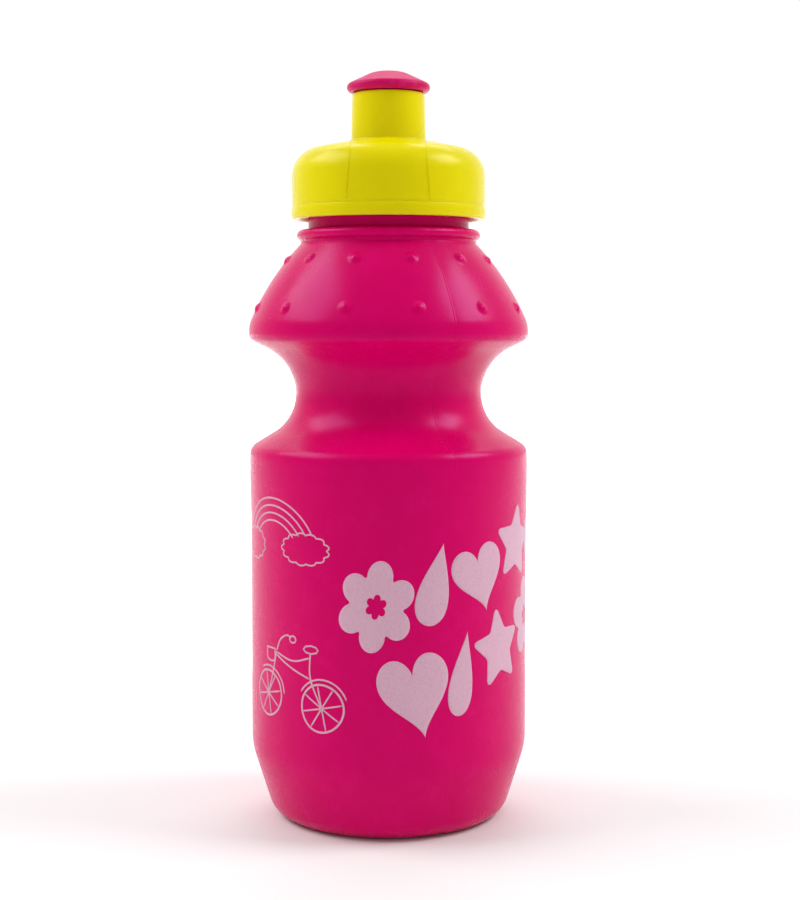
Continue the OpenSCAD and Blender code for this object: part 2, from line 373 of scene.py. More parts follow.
# %% Finish of the cap
def moulded_cap():
    finish = Finish("yellow_moulded_cap", Specular_IOR_Level=0.22, IOR=1.49,
                    Specular_Tint=(1.0, 1.0, 0.45, 1.0),
                    Subsurface_Weight=0.08, Subsurface_Scale=0.002,
                    Subsurface_Radius=(1.0, 0.8, 0.15))
    flow = finish.noise(60.0, 2.0, 0.5, finish.stretched(1.0, 1.0, 0.3))
    grain = finish.noise(3000.0, 2.0)
    dull = finish.noise(240.0, 3.0)
    colour = finish.between(flow.span(0.3, 0.7), (0.79, 0.68, 0.0), (0.82, 0.72, 0.0))
    rough = dull * 0.08 + grain * 0.04 + 0.2
    skin = finish.bump(grain, 0.00002, 0.4, finish.bump(flow, 0.0005, 0.3))
    return finish.set(Base_Color=colour, Roughness=rough, Normal=skin)


cap_finish = moulded_cap()
print("finish:", cap_finish.name)

# %% [markdown]
# The valve is a softer, slightly translucent moulding, made to be gripped by teeth. Its skin is
# finely matted and worn in spots. Real transmission would cost many light bounces for a piece this
# small, so light that sinks in under the surface stands in for it.

# %% Finish of the valve
def soft_valve():
    finish = Finish("pink_soft_valve", Specular_IOR_Level=0.12, IOR=1.48,
                    Specular_Tint=(1.0, 0.6, 0.85, 1.0),
                    Subsurface_Weight=0.2, Subsurface_Scale=0.002,
                    Subsurface_Radius=(1.0, 0.2, 0.4))
    matt = finish.noise(2200.0, 3.0)
    wear = finish.noise(420.0, 3.0).span(0.45, 0.7)
    colour = finish.between(wear, (0.60, 0.003, 0.115), (0.64, 0.012, 0.15))
    rough = matt * 0.1 + wear * 0.08 + 0.3
    return finish.set(Base_Color=colour, Roughness=rough, Normal=finish.bump(matt, 0.00003, 0.6))


valve_finish = soft_valve()
print("finish:", valve_finish.name)

# %% [markdown]
# The gasket is a ring cut from foamed sheet: off-white, matt, with fine open cells. Modelling the
# cells would take thousands of faces that nobody sees, so a cell pattern drives colour, roughness
# and a slight bump instead.

# %% Finish of the gasket
def foamed_ring():
    finish = Finish("foamed_gasket", Specular_IOR_Level=0.25)
    cells = finish.node("ShaderNodeTexVoronoi", {}, {"Vector": finish.place, "Scale": 2400.0})
    shade = finish.noise(300.0, 2.0)
    colour = finish.between(shade * 0.5 + cells * 0.5, (0.62, 0.62, 0.57), (0.80, 0.80, 0.75))
    rough = cells * 0.15 + 0.7
    return finish.set(Base_Color=colour, Roughness=rough, Normal=finish.bump(cells, 0.00006, 0.7))


gasket_finish = foamed_ring()
print("finish:", gasket_finish.name)

# %% [markdown]
# Screen ink lies on the shell as a thin film. The mesh of the screen leaves it slightly mottled,
# so the magenta shows through in tiny points and the white turns a pale pink. True transparency
# would need sorting and more samples. A blend of two pinks by a fine cell pattern looks the same.

# %% Finish of the print
def screen_ink():
    finish = Finish("pale_screen_ink", Specular_IOR_Level=0.35)
    mesh_cells = finish.node("ShaderNodeTexVoronoi", {}, {"Vector": finish.place, "Scale": 2600.0})
    patchy = finish.noise(1400.0, 3.0, 0.6)
    thin = mesh_cells.span(0.2, 0.75) * 0.4 + patchy.span(0.45, 0.75) * 0.25
    colour = finish.between(thin, (0.72, 0.45, 0.565), (0.64, 0.30, 0.43))
    rough = patchy * 0.15 + 0.42
    return finish.set(Base_Color=colour, Roughness=rough, Normal=finish.bump(patchy, 0.00002, 0.5))


ink_finish = screen_ink()
print("finish:", ink_finish.name)

# %% [markdown]
# The base is pushed up so that the bottle stands on a ring and doesn't rock. Then come the corner,
# the taper and the printed wall. A plain cylinder would do for the wall, but a real one isn't
# quite straight: the panel for the print is a tenth of a millimetre in, and its ends catch light.

# %% Outline of the base and the wall
PANEL_IN = 0.1
TAPER_KNEE_R = 16.0
RING_EDGE_R = 1.5


def wall_r(z):
    """Radius of the printed wall: a shallow panel from about 35 to 70 mm, then out to the lip."""
    inward = PANEL_IN * smooth((z - 33) / 3)
    return BODY_R - inward + (PANEL_IN + LIP_PROUD) * smooth((z - 69) / 13)


def base_outline():
    """The pushed-up middle, the standing ring, the corner, the taper and its soft knee."""
    pushup_r = FOOT_R - FOOT_W
    dome_r = (pushup_r ** 2 + PUSHUP_H ** 2) / (2 * PUSHUP_H)
    dome_end = 90 - math.degrees(math.asin(pushup_r / dome_r))
    dome = arc((0, PUSHUP_H - dome_r), dome_r, 89.6, dome_end, 9)
    corner = arc((FOOT_R, CORNER_R), CORNER_R, -90, -TAPER_A, 12)
    rise = (BODY_R - corner[-1][0]) / math.tan(math.radians(TAPER_A))
    knee = (BODY_R, corner[-1][1] + rise)
    ring = rounded(dome[-2], dome[-1], (FOOT_R, 0), RING_EDGE_R, 4)
    soft_knee = rounded(corner[-1], knee, (BODY_R, 40), TAPER_KNEE_R, 8)
    return chain(dome[:-1], ring, corner, soft_knee)


wall_rows = np.r_[24, 30, 33, 34, 35, 36, 45, 57, 69, np.linspace(71, 85, 8)]
wall_outline = np.column_stack([wall_r(wall_rows), wall_rows])
print("wall radius from", round(wall_outline.min(axis=0)[0], 2), "to", round(wall_r(85.0), 2))

# %% [markdown]
# The finger groove is what a small hand holds. It could be one curve drawn by eye. A toolmaker
# joins lips and groove with straight flanks that touch both, so we find the angle at which each
# flank leaves its lip, and the shading runs on without a kink.

# %% Outline of the finger groove
def flank(lip, lip_r, groove, groove_r, side):
    """Angle at which the straight flank between a lip and a groove leaves the lip, in degrees."""
    away = np.subtract(groove, lip)
    swing = math.acos((lip_r + groove_r) / np.linalg.norm(away))
    return math.degrees(math.atan2(away[1], away[0]) + side * swing)


def waist_outline():
    """Lower lip, the groove's lower and upper halves, and the lip under the shoulder."""
    low_lip, up_lip = (LIP_R - LOW_LIP_R, LOW_LIP_Z), (LIP_R - UP_LIP_R, UP_LIP_Z)
    low, up = (WAIST_R + LOW_GROOVE_R, WAIST_Z), (WAIST_R + UP_GROOVE_R, WAIST_Z)
    low_a = flank(low_lip, LOW_LIP_R, low, LOW_GROOVE_R, -1)
    up_a = flank(up_lip, UP_LIP_R, up, UP_GROOVE_R, 1)
    return chain(
        arc(low_lip, LOW_LIP_R, 0, low_a, 10),
        arc(low, LOW_GROOVE_R, low_a + 180, 180, 14),
        arc(up, UP_GROOVE_R, 180, up_a + 180, 16),
        arc(up_lip, UP_LIP_R, up_a, 0, 8),
    )


waist = waist_outline()
print("narrowest radius:", round(waist[:, 0].min(), 2))

# %% [markdown]
# Over the groove the shoulder slopes in to the bead and the neck. A straight cone would look hard,
# so the slope is crowned a little. Its rows crowd where the grip bumps will stand, because a small
# bump needs small faces and the rest of the slope doesn't.

# %% Outline of the shoulder and the neck
SLOPE_FOOT = arc((LIP_R - SHOULDER_EDGE_R, SHOULDER_Z), SHOULDER_EDGE_R, 0, SHOULDER_A, 1)[-1]
SLOPE_RUN = np.array([NECK_FOOT_R, NECK_FOOT_Z]) - SLOPE_FOOT
SLOPE_LENGTH = np.linalg.norm(SLOPE_RUN)
BUMP_ROWS, BUMP_N, BUMP_R, BUMP_PROUD = (0.14, 0.755), 12, 1.85, 0.62


def shoulder_outline():
    """The rounded edge, then the slope foot + run * t crowned out by 4 t (1 - t)."""
    edge = arc((LIP_R - SHOULDER_EDGE_R, SHOULDER_Z), SHOULDER_EDGE_R, 0, SHOULDER_A, 6)
    near = BUMP_R / SLOPE_LENGTH * 1.15
    t = spaced(lambda x: 1 + 6 * sum(np.abs(x - row) < near for row in BUMP_ROWS), 0, 1, 46)
    side = np.array([SLOPE_RUN[1], -SLOPE_RUN[0]]) / SLOPE_LENGTH
    slope = SLOPE_FOOT + np.outer(t, SLOPE_RUN) + np.outer(4 * t * (1 - t), side * SHOULDER_CROWN)
    return chain(edge, slope[:-1])


def neck_outline():
    """The bead under the cap, then the neck up to the mouth and some way down the bore."""
    bead_low, bead_high = BEAD_Z - BEAD_T / 2, BEAD_Z + BEAD_T / 2
    return chain(
        rounded((NECK_FOOT_R + 1, NECK_FOOT_Z - 1.2), (NECK_FOOT_R, NECK_FOOT_Z),
                (NECK_FOOT_R, bead_low), 0.4, 3),
        arc((BEAD_R - BEAD_T / 2, BEAD_Z), BEAD_T / 2, -76, 90, 12),
        rounded((BEAD_R, bead_high), (NECK_R, bead_high), (NECK_R, MOUTH_Z), 0.5, 4),
        line((NECK_R, bead_high + 0.8), (NECK_R, MOUTH_Z - 0.6), 3),
        arc((NECK_R - 0.5, MOUTH_Z - 0.5), 0.5, 0, 90, 4),
        arc((BORE_R + 0.5, MOUTH_Z - 0.5), 0.5, 90, 180, 4),
        line((BORE_R, MOUTH_Z - 0.6), (BORE_R, BEAD_Z + 0.6), 3),
    )


below_neck = chain(base_outline(), wall_outline, waist, shoulder_outline())
inner_wall = (below_neck - normals_of(below_neck) * WALL)[::3]
inner_wall = inner_wall[inner_wall[:, 1] < NECK_FOOT_Z - 1][::-1]
shell_outline = chain(below_neck, neck_outline(), inner_wall)
print("shell outline:", len(shell_outline), "points,", len(below_neck), "of them below the neck")

# %% [markdown]
# The relief holds what breaks the round: two rows of grip bumps on the shoulder, and the mould's
# parting line, a hair of flash in a shallow crease where the two halves met. A bump map could fake
# both, but their outline against the light would stay smooth, so the surface itself moves.

# %% Relief of the shell
FLASH_H, FLASH_W = 0.07, 0.11
CREASE_DEPTH, CREASE_W = 0.15, 2.2
BUMP_ANGLES = PARTING_A + (np.arange(BUMP_N) + 0.5) * 360 / BUMP_N


def turn_between(a, b):
    """The angle from b to a, from -180 to 180 degrees."""
    return (a - b + 180) % 360 - 180


def parting_relief(r, angle, z=0.0):
    """Flash exp(-(d / width)^2) in a crease exp(-|d| / width), by the distance d from the plane.
    Both are trimmed to a third on the wall that takes the print."""
    d = r * np.sin(np.radians(angle - PARTING_A))
    trim = 1 - 0.7 * smooth((z - 20) / 4) * smooth((86 - z) / 4)
    crease = CREASE_DEPTH * np.exp(-np.abs(d) / CREASE_W)
    return trim * (FLASH_H * np.exp(-((d / FLASH_W) ** 2)) - crease)


def bump_relief(r, z, angle):
    """Domes of height (1 - x^2)^2 at x = distance / radius from the nearest bump's middle."""
    side = np.array([SLOPE_RUN[1], -SLOPE_RUN[0]]) / SLOPE_LENGTH
    nearest = np.abs(turn_between(angle[..., None], BUMP_ANGLES)).min(axis=-1)
    height = np.zeros(np.broadcast(r, angle).shape)
    for t in BUMP_ROWS:
        at = SLOPE_FOOT + SLOPE_RUN * t + side * SHOULDER_CROWN * 4 * t * (1 - t)
        across = np.radians(nearest) * at[0]
        x = np.sqrt((r - at[0]) ** 2 + (z - at[1]) ** 2 + across ** 2) / BUMP_R
        height += BUMP_PROUD * np.clip(1 - x ** 2, 0, 1) ** 2
    return height


def shell_density(angle):
    """How densely columns stand: 1, plus more at the bumps and most at the parting line."""
    bumps = np.abs(turn_between(angle[..., None], BUMP_ANGLES)).min(axis=-1) < 4.2
    seam = np.abs(np.sin(np.radians(angle - PARTING_A))) < 0.02
    return 1 + 4.5 * bumps + 14 * seam


shell_angles = spaced(shell_density, -180, 180, 372)[:-1]
outer = np.arange(len(shell_outline)) < len(below_neck) + 18
rr, zz = shell_outline[:, :1], shell_outline[:, 1:]
shell_relief = parting_relief(rr, shell_angles, zz) + bump_relief(rr, zz, shell_angles[None, :])
shell_grid = turned(shell_outline, shell_angles, shell_relief * outer[:, None])
print("shell grid:", shell_grid.shape)

# %% [markdown]
# A screw thread is a section carried up a helix. A Screw modifier would leave blunt ends. As a
# formula it can fade in and out over a few degrees, as a moulded thread does, and it sinks into
# its wall, so the two meet with no gap.

# %% Threads
def helix(wall, crest, start_z, start_a):
    """A thread: angle a = start + 360 turns t, height z + pitch a / 360, and a rounded section
    from the wall to the crest that fades out at both ends."""
    steps = int(THREAD_TURNS * 72)
    t = np.linspace(0, 1, steps + 1)
    a = np.radians(start_a + 360 * THREAD_TURNS * t)
    reach = crest - wall
    root = wall - 0.4 * np.sign(reach)
    fade = smooth(np.minimum(t, 1 - t) * 14)[:, None]
    depth = np.array([0, 0.45, 0.85, 1, 1, 0.85, 0.45, 0])
    half = np.array([-1.0, -0.78, -0.6, -0.42, 0.42, 0.6, 0.78, 1.0])
    r = root + (0.35 * np.sign(reach) + (abs(reach) + 0.05) * np.sign(reach) * fade) * depth
    z = (start_z + PITCH * THREAD_TURNS * t)[:, None] + half
    grid = np.stack([r * np.cos(a)[:, None], r * np.sin(a)[:, None], z], axis=-1)
    return patch(grid, poles=True)


RIM_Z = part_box("screw_cap")[0].z / MM
neck_thread = helix(NECK_R, NECK_R + THREAD_H, RIM_Z + NECK_THREAD_UP, 0)
piece("bottle_shell", [patch(shell_grid, poles=True), neck_thread],
      "bottle", shell_finish, "bottle_body")

# %% [markdown]
# The cap is one moulding: band, skirt, dome and spout tower. Stacked cylinders would leave hard
# seams between them. One closed outline, up the outside and down the inside, gives the soft
# fillets and the true wall that show when the cap is off.

# %% Outline of the cap
CAP_BORE_R = NECK_R + THREAD_H + 0.35
CAP_R = CAP_BORE_R + 1.95
LAND_Z = top_of("cap_gasket") + 0.05
TOWER_R, TOWER_TOP_R = 8.75, 8.48
HEAD_Z = top_of("pull_valve") - 4.85
TOWER_TOP_Z = HEAD_Z - 0.2
DOME_Z, DOME_EDGE_R, DOME_A = LAND_Z - 2.05, 6.6, 12.0
BAND_TOP_Z = RIM_Z + 3.1
SHAFT_R, CATCH_R = 7.0, 6.48
edge_end = arc((CAP_R - DOME_EDGE_R, DOME_Z), DOME_EDGE_R, 0, 90 - DOME_A, 1)[-1]
TOWER_Z = edge_end[1] + (edge_end[0] - TOWER_R) * math.tan(math.radians(DOME_A))
CEILING_Z = TOWER_Z - 1.6


def band_outline():
    """The rim's band swells by 0.15 mm and ends in a fine groove under the skirt."""
    z = np.linspace(0, 1, 11)
    r = CAP_R - 0.12 + 0.27 * np.sin(np.pi * np.clip(z * 0.96 + 0.04, 0, 1)) ** 0.6
    rows = np.column_stack([r, RIM_Z + 0.35 + z * (BAND_TOP_Z - RIM_Z - 0.35)])
    foot = arc((rows[0][0] - 0.3, RIM_Z + 0.3), 0.3, -90, 0, 4)
    return chain(foot, rows, [CAP_R, BAND_TOP_Z + 0.14])


def cap_outline():
    """The whole outline, and how many of its points are on the outside."""
    out = (TOWER_R + 4, TOWER_Z - 4 * math.tan(math.radians(DOME_A)))
    outside = chain(
        band_outline(), line((CAP_R, BAND_TOP_Z + 0.6), (CAP_R, DOME_Z), 4),
        arc((CAP_R - DOME_EDGE_R, DOME_Z), DOME_EDGE_R, 0, 90 - DOME_A, 22),
        line(edge_end, out, 4),
        rounded(out, (TOWER_R, TOWER_Z), (TOWER_R - 0.01, TOWER_Z + 2), 0.35, 5),
        line((TOWER_R - 0.03, TOWER_Z + 1.3), (TOWER_TOP_R, TOWER_TOP_Z - 0.6), 5),
        arc((TOWER_TOP_R - 0.45, TOWER_TOP_Z - 0.45), 0.45, 0, 90, 5),
    )
    inside = chain(
        [CATCH_R + 0.3, TOWER_TOP_Z], [CATCH_R + 0.05, TOWER_TOP_Z - 0.12],
        [CATCH_R, TOWER_TOP_Z - 0.35], [CATCH_R, TOWER_TOP_Z - 1.6],
        [CATCH_R + 0.1, TOWER_TOP_Z - 1.85], [SHAFT_R, TOWER_TOP_Z - 2.3],
        line((SHAFT_R, TOWER_TOP_Z - 2.6), (SHAFT_R, CEILING_Z + 0.2), 4),
        [SHAFT_R + 0.25, CEILING_Z],
        line((SHAFT_R + 0.6, CEILING_Z - 0.07), (BORE_R - 0.9, CEILING_Z - 1.9), 3),
        [BORE_R - 0.7, CEILING_Z - 2.2], [BORE_R - 0.7, LAND_Z + 0.15], [BORE_R - 0.55, LAND_Z],
        [CAP_BORE_R - 0.2, LAND_Z], [CAP_BORE_R, LAND_Z - 0.2],
        line((CAP_BORE_R, LAND_Z - 0.5), (CAP_BORE_R, RIM_Z + 0.8), 4),
        [CAP_BORE_R + 0.05, RIM_Z + 0.6], [CAP_BORE_R + 0.35, RIM_Z + 0.12], [CAP_BORE_R + 0.5, RIM_Z],
    )
    return chain(outside, inside), len(outside)


cap_rows, cap_outer_count = cap_outline()
print("cap outline:", len(cap_rows), "points; dome ends at", round(TOWER_Z, 2))

# %% [markdown]
# Front and back carry a shallow panel about as wide as the tower. Its edges could be cut with a
# boolean, which spoils the quads. They run nearly straight down, so each row of the grid places
# its columns to lie exactly along them, and the relief steps in by a sixth of a millimetre.

# %% Columns and relief of the cap
PANEL_DEPTH, PANEL_EDGE = 0.17, 0.09
PANEL_X, PANEL_NARROWS = 9.35, 0.8


def panel_edge_angle(r, z):
    """Angle from the panel's middle to its edge: asin(x / r), where x narrows from the band to the
    tower."""
    x = PANEL_X - PANEL_NARROWS * smooth((z - BAND_TOP_Z) / 13)
    return np.degrees(np.arcsin(np.clip(x / np.clip(r, TOWER_R, CAP_R), 0, 0.977)))


def cap_columns(r, z):
    """Angles for each row, and 1 where a column is in a panel: three columns close on each side of
    an edge keep it crisp, and the others spread evenly between."""
    edge = panel_edge_angle(r, z)
    steps = np.degrees(PANEL_EDGE / r) * np.array([1.0, 1.6, 3.2])
    last = edge - steps[:, 2:]
    front = np.hstack([-edge + steps[:, :2], np.linspace(-1, 1, 17) * last, edge - steps[:, 1::-1]])
    first = edge + steps[:, 2:]
    side = first + np.linspace(0, 1, 40) * (180 - 2 * first)
    right = np.hstack([edge + steps[:, :2], side, 180 - edge - steps[:, 1::-1]])
    angles = np.hstack([front, right, front + 180, right + 180])
    flags = np.r_[np.ones(21), np.zeros(44), np.ones(21), np.zeros(44)]
    return angles, flags


cap_r, cap_z = cap_rows[:, :1], cap_rows[:, 1:]
cap_angles, in_panel = cap_columns(cap_r, cap_z)
panel_share = smooth((cap_z - BAND_TOP_Z - 0.1) / 0.5) * smooth((TOWER_Z + 0.3 - cap_z) / 0.9)
panel_share[cap_outer_count:] = 0
cap_grid = turned(cap_rows, cap_angles, -PANEL_DEPTH * panel_share * in_panel, closed=True)
print("cap grid:", cap_grid.shape)

# %% [markdown]
# Inside the tower a three-armed bridge carries the pin that plugs the drinking hole, and the water
# passes between the arms. They could be cubes with a Bevel. A section with rounded corners carried
# straight out from the pin is one formula and has no seams.

# %% Bridge
PIN_R = 2.0
PIN_TOP_Z = top_of("screw_cap")
STEM_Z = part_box("pull_valve")[0].z / MM
BRIDGE_H, BRIDGE_W = 1.8, 1.5
BRIDGE_Z = STEM_Z - 0.9 - BRIDGE_H


def bar(angle):
    """A bar along its way out from the axis, its section a square with rounded corners:
    |cos|^0.5 and |sin|^0.5 with their signs."""
    a = math.radians(angle)
    way = np.array([math.sin(a), -math.cos(a), 0.0])
    path = np.outer(np.linspace(PIN_R * 0.5, SHAFT_R + 0.5, 6), way)
    path[:, 2] = BRIDGE_Z + BRIDGE_H / 2
    turn = np.radians(np.arange(0, 360, 15))
    u = (np.sign(np.cos(turn)) * np.abs(np.cos(turn)) ** 0.5 * BRIDGE_W / 2)[None, :, None]
    v = (np.sign(np.sin(turn)) * np.abs(np.sin(turn)) ** 0.5 * BRIDGE_H / 2)[None, :, None]
    across = np.tile([-way[1], way[0], 0.0], (6, 1))
    up = np.tile([0.0, 0.0, 1.0], (6, 1))
    return patch(swept(path, (u, v), (across, up)), poles=True)


print("bridge: three arms at height", round(BRIDGE_Z, 2))

# %% [markdown]
# The pin is one more turned outline, and the cap's thread is the neck's helix with its crest
# turned inward. It starts half a pitch away from the neck's, so the two lie side by side when the
# cap is closed. All of it is one moulding, so it becomes one object.

# %% Pin, the cap's thread and the whole cap
round_angles = np.linspace(-180, 180, 65)[:-1]
pin_outline = chain(
    [0.3, BRIDGE_Z - 0.25], arc((PIN_R - 0.4, BRIDGE_Z + 0.15), 0.4, -90, 0, 3),
    line((PIN_R, BRIDGE_Z + 1), (PIN_R, PIN_TOP_Z - 0.6), 3),
    arc((PIN_R - 0.5, PIN_TOP_Z - 0.5), 0.5, 0, 90, 5), [0.3, PIN_TOP_Z],
)
pin = patch(turned(pin_outline, round_angles), poles=True)
cap_thread_a = 360 * (CAP_THREAD_UP - NECK_THREAD_UP + PITCH / 2) / PITCH
cap_thread = helix(CAP_BORE_R, CAP_BORE_R - THREAD_H, RIM_Z + CAP_THREAD_UP, cap_thread_a)
piece("cap_moulding", [patch(cap_grid, along=True), pin, cap_thread, *map(bar, (0, 120, 240))],
      "cap", cap_finish, "screw_cap")

# %% [markdown]
# The valve is what a child pulls up with its teeth: a lens-shaped head with a soft rim, a stem
# that slides in the tower, and a bead at the stem's foot that catches under the tower's lip. A
# flattened sphere on a tube would show a crease, so head, stem and hole are one turned outline.

# %% Valve
HEAD_R = radius_of("pull_valve")
HEAD_TOP_Z = top_of("pull_valve")
STEM_R, STEM_BEAD_R, STEM_BORE_R, HOLE_R = 6.4, 6.92, 4.4, 2.08
BEAD_TOP = STEM_Z + 2.2


def valve_outline():
    """Up the stem's outside, round the head, and down through the drinking hole."""
    rim = arc((HEAD_R - 1.15, HEAD_Z + 1.15), 1.15, -90, 66, 12)
    crown = rounded(rim[-1], (3.5, HEAD_TOP_Z - 0.02), (2.4, HEAD_TOP_Z), 7.0, 8)
    return chain(
        [STEM_BORE_R + 0.2, STEM_Z], [STEM_BEAD_R - 0.5, STEM_Z],
        [STEM_BEAD_R - 0.25, STEM_Z + 0.2], [STEM_BEAD_R, STEM_Z + 1.4],
        [STEM_BEAD_R, BEAD_TOP - 0.35], [STEM_R + 0.1, BEAD_TOP - 0.05],
        line((STEM_R, BEAD_TOP + 0.1), (STEM_R, HEAD_Z - 0.1), 4),
        rounded((STEM_R, HEAD_Z - 1), (STEM_R, HEAD_Z), (STEM_R + 1, HEAD_Z), 0.1, 2),
        rim, line(rim[-1], crown[0], 5)[1:-1], crown,
        arc((HOLE_R + 0.35, HEAD_TOP_Z - 0.35), 0.35, 90, 180, 5),
        line((HOLE_R, HEAD_TOP_Z - 0.6), (HOLE_R, HEAD_TOP_Z - 2.9), 3),
        [HOLE_R + 0.2, HEAD_TOP_Z - 3.05], [STEM_BORE_R - 0.1, HEAD_TOP_Z - 3.8],
        line((STEM_BORE_R, HEAD_TOP_Z - 4.1), (STEM_BORE_R, STEM_Z + 0.2), 4),
    )


valve_angles = np.linspace(-180, 180, 129)[:-1]
valve_grid = turned(valve_outline(), valve_angles, closed=True)
piece("valve_moulding", [patch(valve_grid, along=True)],
      "valve", valve_finish, "pull_valve")

# %% [markdown]
# The gasket is a flat ring pressed between the mouth and the cap. It shows only when the cap is
# off. Blender's torus has a round section, so the ring is turned from four corner arcs instead.

# %% Gasket
low_z, high_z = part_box("cap_gasket")[0].z / MM, top_of("cap_gasket")
in_r, out_r = BORE_R - 0.4, radius_of("cap_gasket")
gasket_outline = chain(
    arc((out_r - 0.2, low_z + 0.2), 0.2, -90, 0, 3),
    arc((out_r - 0.2, high_z - 0.2), 0.2, 0, 90, 3),
    arc((in_r + 0.2, high_z - 0.2), 0.2, 90, 180, 3),
    arc((in_r + 0.2, low_z + 0.2), 0.2, 180, 270, 3),
)
gasket_grid = turned(gasket_outline, valve_angles, closed=True)
piece("gasket_ring", [patch(gasket_grid, along=True)],
      "seal", gasket_finish, "cap_gasket")

# %% [markdown]
# The print is pale ink pressed through a screen. An image texture is the usual way, but thin
# closed films stay sharp at any distance. They are worked out on flat paper: s millimetres round
# the wall from the front, and z up it. A stroke is a ribbon whose edges dip under the surface.

# %% Wrapping and strokes
INK_UP, INK_CREST, INK_EDGE, INK_DOWN = 0.045, 0.05, -0.02, -0.05
PEN_W = 0.38


def wrapped(s, z, lift):
    """Paper to wall: angle = s / r, at the wall's own radius with its seam, plus the lift."""
    angle = np.degrees(s / BODY_R)
    r = wall_r(z) + parting_relief(BODY_R, angle, z) + lift
    a = np.radians(angle)
    return np.stack([r * np.sin(a), -r * np.cos(a), z], axis=-1)


def stroke(path, width=PEN_W, loop=False):
    """A ribbon along a path of (s, z) points: each section runs edge, top, edge, underside."""
    path = np.asarray(path, float)
    if loop:
        way = np.roll(path, -1, axis=0) - np.roll(path, 1, axis=0)
    else:
        way = np.gradient(path, axis=0)
    way /= np.linalg.norm(way, axis=1, keepdims=True) + 1e-9
    side = np.column_stack([-way[:, 1], way[:, 0]])
    run = np.r_[0, np.cumsum(np.linalg.norm(np.diff(path, axis=0), axis=1))]
    wide = np.full(len(path), width / 2)
    if not loop:
        end = np.clip(np.minimum(run, run[-1] - run) / (width / 2), 0, 1)
        wide = wide * np.sqrt(1 - (1 - end) ** 2) + 0.02
    across = np.array([-1, -0.8, 0, 0.8, 1, 0])
    lift = np.array([INK_EDGE, INK_UP, INK_CREST, INK_UP, INK_EDGE, INK_DOWN])
    s = path[:, :1] + side[:, :1] * wide[:, None] * across
    z = path[:, 1:] + side[:, 1:] * wide[:, None] * across
    return patch(wrapped(s, z, lift), along=loop, poles=not loop)


print("ink stands", INK_UP, "mm proud of the wall")

# %% [markdown]
# A bold shape is an outline filled towards its middle. Blender's fill would make long thin
# triangles that can't bend round the wall. Rings of the outline at smaller and smaller shares give
# even quads that can.

# %% Filled shapes
def blot(outline, centre, hole=0.0):
    """A filled shape: centre + (outline - centre) * share, for shares out to the rim on top and
    back underneath. With a hole, the shares start there and the film closes on itself."""
    outline, centre = np.asarray(outline, float), np.asarray(centre, float)
    least = hole if hole else 0.02
    reach = np.linalg.norm(outline - centre, axis=1).mean()
    lip = 0.07 / reach
    if hole:
        top = np.linspace(least + 2 * lip, 1 - lip, 9)
        shares = np.r_[least, least + lip, top, 1, 0.7, least + 0.1]
        lift = np.r_[INK_EDGE, np.full(10, INK_UP), INK_EDGE, INK_DOWN, INK_DOWN]
    else:
        shares = np.r_[np.linspace(least, 1 - lip, 10), 1, 0.7, 0.1]
        lift = np.r_[np.full(10, INK_UP), INK_EDGE, INK_DOWN, INK_DOWN]
    points = centre + (outline - centre)[None] * shares[:, None, None]
    grid = wrapped(points[..., 0], points[..., 1], lift[:, None])
    return patch(grid, along=bool(hole), poles=not hole)


# %% [markdown]
# The pen lines follow paths. Straight lines and true circles look like a machine's, so a ring may
# wobble a little, and a line runs smoothly through a few points, as a hand would draw it.

# %% Pen paths
def ring_path(centre, radius, start=0, end=360, steps=48, wobble=0.0):
    """An arc on the paper with a slight hand wobble: radius * (1 + wobble * sin(3a + 57))."""
    a = np.linspace(start, end, steps + 1)
    r = radius * (1 + wobble * np.sin(np.radians(3 * a + 57)))
    a = np.radians(a)
    return np.column_stack([centre[0] + r * np.cos(a), centre[1] + r * np.sin(a)])


def drawn(points, steps=10):
    """A smooth line through a few points: each span is a Catmull-Rom cubic."""
    p = np.asarray(points, float)
    p = np.vstack([2 * p[0] - p[1], p, 2 * p[-1] - p[-2]])
    t = np.linspace(0, 1, steps, endpoint=False)[:, None]
    spans = [
        0.5 * (2 * b + (c - a) * t + (2 * a - 5 * b + 4 * c - d) * t ** 2
               + (3 * b - a - 3 * c + d) * t ** 3)
        for a, b, c, d in zip(p[:-3], p[1:-2], p[2:-1], p[3:])
    ]
    return np.vstack([*spans, p[-2]])


print("a line through three points:", len(drawn([(0, 0), (1, 1), (2, 0)])), "points")

# %% [markdown]
# Highest on the left stands a rainbow between two clouds, in thin pale lines. It could be traced
# as one long curve. Four arcs on one centre and two scalloped ovals are simpler, and each can be
# moved by itself.

# %% Rainbow and clouds
def cloud(centre, half_w, half_h, puffs):
    """A scalloped oval: (a cos t, b sin t) * (0.93 + 0.12 |sin(puffs t / 2)|)."""
    t = np.linspace(0, 2 * np.pi, puffs * 8, endpoint=False)
    swell = 0.93 + 0.12 * np.abs(np.sin(puffs * t / 2))
    x, z = half_w * np.cos(t) * swell, half_h * np.sin(t) * swell
    return np.column_stack([centre[0] + x, centre[1] + z])


def rainbow(at):
    """Four arcs on one centre, ending behind a cloud at each foot."""
    bows = [stroke(ring_path(at, r, 27 + 4 * k, 153 - 4 * k, 40))
            for k, r in enumerate((14.5, 12.8, 11.1, 9.4))]
    left, right = (at[0] - 9.6, at[1] + 3.4), (at[0] + 10.4, at[1] + 3.6)
    clouds = [cloud(left, 5.9, 3.6, 12), cloud(right, 6.6, 3.5, 13)]
    return bows + [stroke(path, loop=True) for path in clouds]


piece("print_rainbow", rainbow((-30.6, 63.0)), "bottle", ink_finish)

# %% [markdown]
# Under the rainbow stands a little bicycle. Every point is given from its crank, so the whole
# drawing moves together. A wheel is a ring, a hub and eight spokes, made once and used twice.

